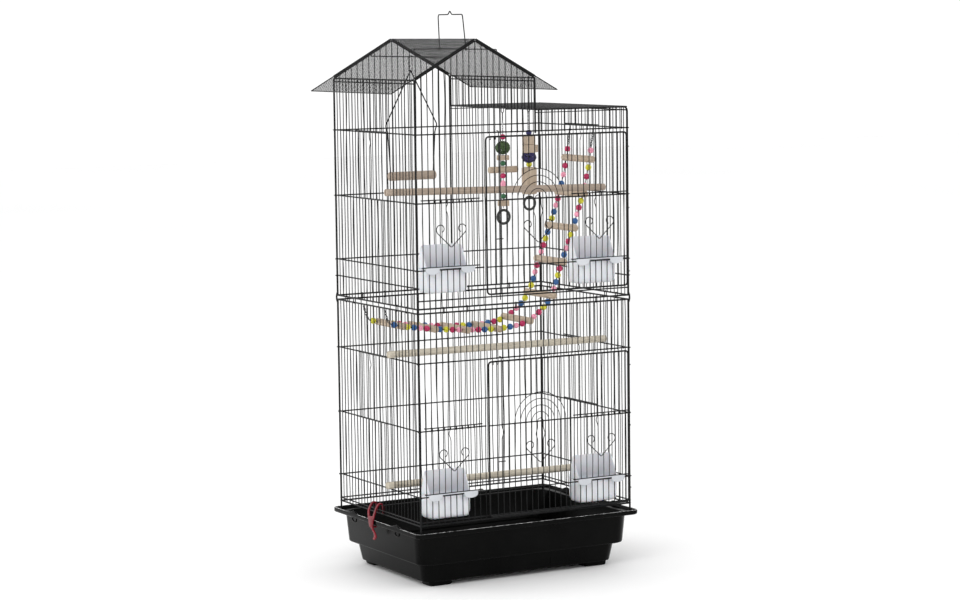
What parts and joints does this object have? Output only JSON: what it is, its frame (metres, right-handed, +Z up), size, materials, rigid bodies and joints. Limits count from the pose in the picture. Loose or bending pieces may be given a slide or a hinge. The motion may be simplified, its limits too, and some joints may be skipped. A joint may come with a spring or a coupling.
{
  "type": "bird cage",
  "caption": "Tall black wire bird cage on a deep tray, with gabled mesh roof, hinged and sliding doors, feeder cups, perches, swing, hanging toys and a bead bridge.",
  "frame": {"origin": "middle of the bounding box at the floor, under the feet of the tray", "axes": "+Z up the height, -Y the front with the main doors, +X to the right when facing the front"},
  "size_m": [0.5086, 0.346, 1.0341],
  "materials": {
    "black_wire": "satin black coating",
    "roof_mesh": "satin black coating on expanded mesh",
    "tray_plastic": "gloss",
    "white_plastic": "smooth",
    "red_plastic": "smooth",
    "wood": "raw sanded",
    "bead_crimson": "painted bead",
    "bead_pink": "painted bead",
    "bead_blue": "painted bead",
    "bead_yellow": "painted bead",
    "bead_green": "painted bead",
    "bead_navy": "painted bead",
    "chain": "plated links",
    "green_wicker": "dyed woven vine",
    "navy_wicker": "dyed woven vine",
    "black_plastic_ring": "smooth"
  },
  "bodies": {
    "cage": {"base_tray": "tray_plastic", "lower_front_panel": "black_wire", "lower_back_panel": "black_wire", "lower_left_panel": "black_wire", "lower_right_panel": "black_wire", "lower_left_feeder_cup": "white_plastic", "upper_front_panel": "black_wire", "upper_back_panel": "black_wire", "upper_left_panel": "black_wire", "upper_right_panel": "black_wire", "upper_left_feeder_cup": "white_plastic", "step_and_flat_top": "black_wire", "roof_left_slope": "roof_mesh", "roof_right_slope": "roof_mesh", "upper_perch": "wood", "middle_perch": "wood", "lower_perch": "wood", "swing_hook": "black_wire", "bridge_front_wire": "bead_pink", "bridge_back_wire": "bead_pink", "bridge_rung_1": "wood", "bridge_rung_2": "wood", "bridge_rung_3": "wood", "bridge_rung_4": "wood", "bridge_rung_5": "wood", "bridge_rung_6": "wood", "bridge_rung_7": "wood", "bridge_rung_8": "wood", "bridge_rung_9": "wood", "bridge_rung_10": "wood"},
    "tray_clip_left": {"tray_clip_left": "red_plastic"},
    "tray_clip_right": {"tray_clip_right": "red_plastic"},
    "lower_main_door": {"lower_main_door": "black_wire", "lower_right_feeder_cup": "white_plastic"},
    "lower_door_bolt": {"lower_door_bolt": "black_wire"},
    "lower_left_feeder_door": {"lower_left_feeder_door": "black_wire"},
    "lower_right_feeder_door": {"lower_right_feeder_door": "black_wire"},
    "lower_left_side_door": {"lower_left_side_door": "black_wire"},
    "lower_right_side_door": {"lower_right_side_door": "black_wire"},
    "upper_main_door": {"upper_main_door": "black_wire", "upper_right_feeder_cup": "white_plastic"},
    "upper_door_bolt": {"upper_door_bolt": "black_wire"},
    "upper_left_feeder_door": {"upper_left_feeder_door": "black_wire"},
    "upper_right_feeder_door": {"upper_right_feeder_door": "black_wire"},
    "upper_left_side_door": {"upper_left_side_door": "black_wire"},
    "upper_right_side_door": {"upper_right_side_door": "black_wire"},
    "carry_handle": {"carry_handle": "black_wire"},
    "swing": {"swing_wire": "black_wire", "swing_seat": "wood"},
    "toy_1": {"toy_1_hanger": "bead_crimson", "toy_1_wicker_ball": "green_wicker", "toy_1_block": "wood", "toy_1_stick": "wood", "toy_1_chip": "wood"},
    "toy_1_ring_body": {"toy_1_ring": "black_plastic_ring"},
    "toy_2": {"toy_2_hanger": "bead_navy", "toy_2_blocks": "wood", "toy_2_wicker_ball": "navy_wicker", "toy_2_log": "wood"},
    "toy_2_ring_body": {"toy_2_ring": "black_plastic_ring"}
  },
  "joints": [
    {"name": "lower_main_door_hinge", "type": "hinge", "parent": "cage", "child": "lower_main_door", "pos_m": [0.23372, -0.16, 0.263], "axis": [0, 0, 1], "range_deg": [0, 165]},
    {"name": "lower_door_bolt_lift", "type": "slide", "parent": "lower_main_door", "child": "lower_door_bolt", "axis": [0, 0, 1], "range_m": [0, 0.014]},
    {"name": "lower_left_feeder_door_lift", "type": "slide", "parent": "cage", "child": "lower_left_feeder_door", "axis": [0, 0, 1], "range_m": [0, 0.11]},
    {"name": "lower_right_feeder_door_lift", "type": "slide", "parent": "lower_main_door", "child": "lower_right_feeder_door", "axis": [0, 0, 1], "range_m": [0, 0.11]},
    {"name": "lower_left_side_door_lift", "type": "slide", "parent": "cage", "child": "lower_left_side_door", "axis": [0, 0, 1], "range_m": [0, 0.11]},
    {"name": "lower_right_side_door_lift", "type": "slide", "parent": "cage", "child": "lower_right_side_door", "axis": [0, 0, 1], "range_m": [0, 0.11]},
    {"name": "upper_main_door_hinge", "type": "hinge", "parent": "cage", "child": "upper_main_door", "pos_m": [0.23372, -0.16, 0.667], "axis": [0, 0, 1], "range_deg": [0, 165]},
    {"name": "upper_door_bolt_lift", "type": "slide", "parent": "upper_main_door", "child": "upper_door_bolt", "axis": [0, 0, 1], "range_m": [0, 0.014]},
    {"name": "upper_left_feeder_door_lift", "type": "slide", "parent": "cage", "child": "upper_left_feeder_door", "axis": [0, 0, 1], "range_m": [0, 0.11]},
    {"name": "upper_right_feeder_door_lift", "type": "slide", "parent": "upper_main_door", "child": "upper_right_feeder_door", "axis": [0, 0, 1], "range_m": [0, 0.11]},
    {"name": "upper_left_side_door_lift", "type": "slide", "parent": "cage", "child": "upper_left_side_door", "axis": [0, 0, 1], "range_m": [0, 0.088]},
    {"name": "upper_right_side_door_lift", "type": "slide", "parent": "cage", "child": "upper_right_side_door", "axis": [0, 0, 1], "range_m": [0, 0.088]},
    {"name": "tray_clip_left_hinge", "type": "hinge", "parent": "cage", "child": "tray_clip_left", "pos_m": [-0.20628, 0.0062, 0.118], "axis": [0, 1, 0], "range_deg": [0, 80]},
    {"name": "tray_clip_right_hinge", "type": "hinge", "parent": "cage", "child": "tray_clip_right", "pos_m": [0.23372, 0.0062, 0.118], "axis": [0, -1, 0], "range_deg": [0, 80]},
    {"name": "carry_handle_hinge", "type": "hinge", "parent": "cage", "child": "carry_handle", "pos_m": [-0.03818, 0.006, 0.9629], "axis": [0, 1, 0], "range_deg": [-56, 108]},
    {"name": "swing_hinge", "type": "hinge", "parent": "cage", "child": "swing", "pos_m": [-0.12988, -0.001, 0.9247], "axis": [1, 0, 0], "range_deg": [-25, 25]},
    {"name": "toy_1_hinge", "type": "hinge", "parent": "cage", "child": "toy_1", "pos_m": [0.05039, -0.02, 0.8567], "axis": [1, 0, 0], "range_deg": [-11, 28]},
    {"name": "toy_1_ring_hinge", "type": "hinge", "parent": "toy_1", "child": "toy_1_ring_body", "pos_m": [0.05039, -0.02, 0.6648], "axis": [1, 0, 0], "range_deg": [-20, 20]},
    {"name": "toy_2_hinge", "type": "hinge", "parent": "cage", "child": "toy_2", "pos_m": [0.09928, -0.032, 0.8567], "axis": [1, 0, 0], "range_deg": [-5, 28]},
    {"name": "toy_2_ring_hinge", "type": "hinge", "parent": "toy_2", "child": "toy_2_ring_body", "pos_m": [0.09928, -0.032, 0.688], "axis": [1, 0, 0], "range_deg": [-20, 20]}
  ]
}
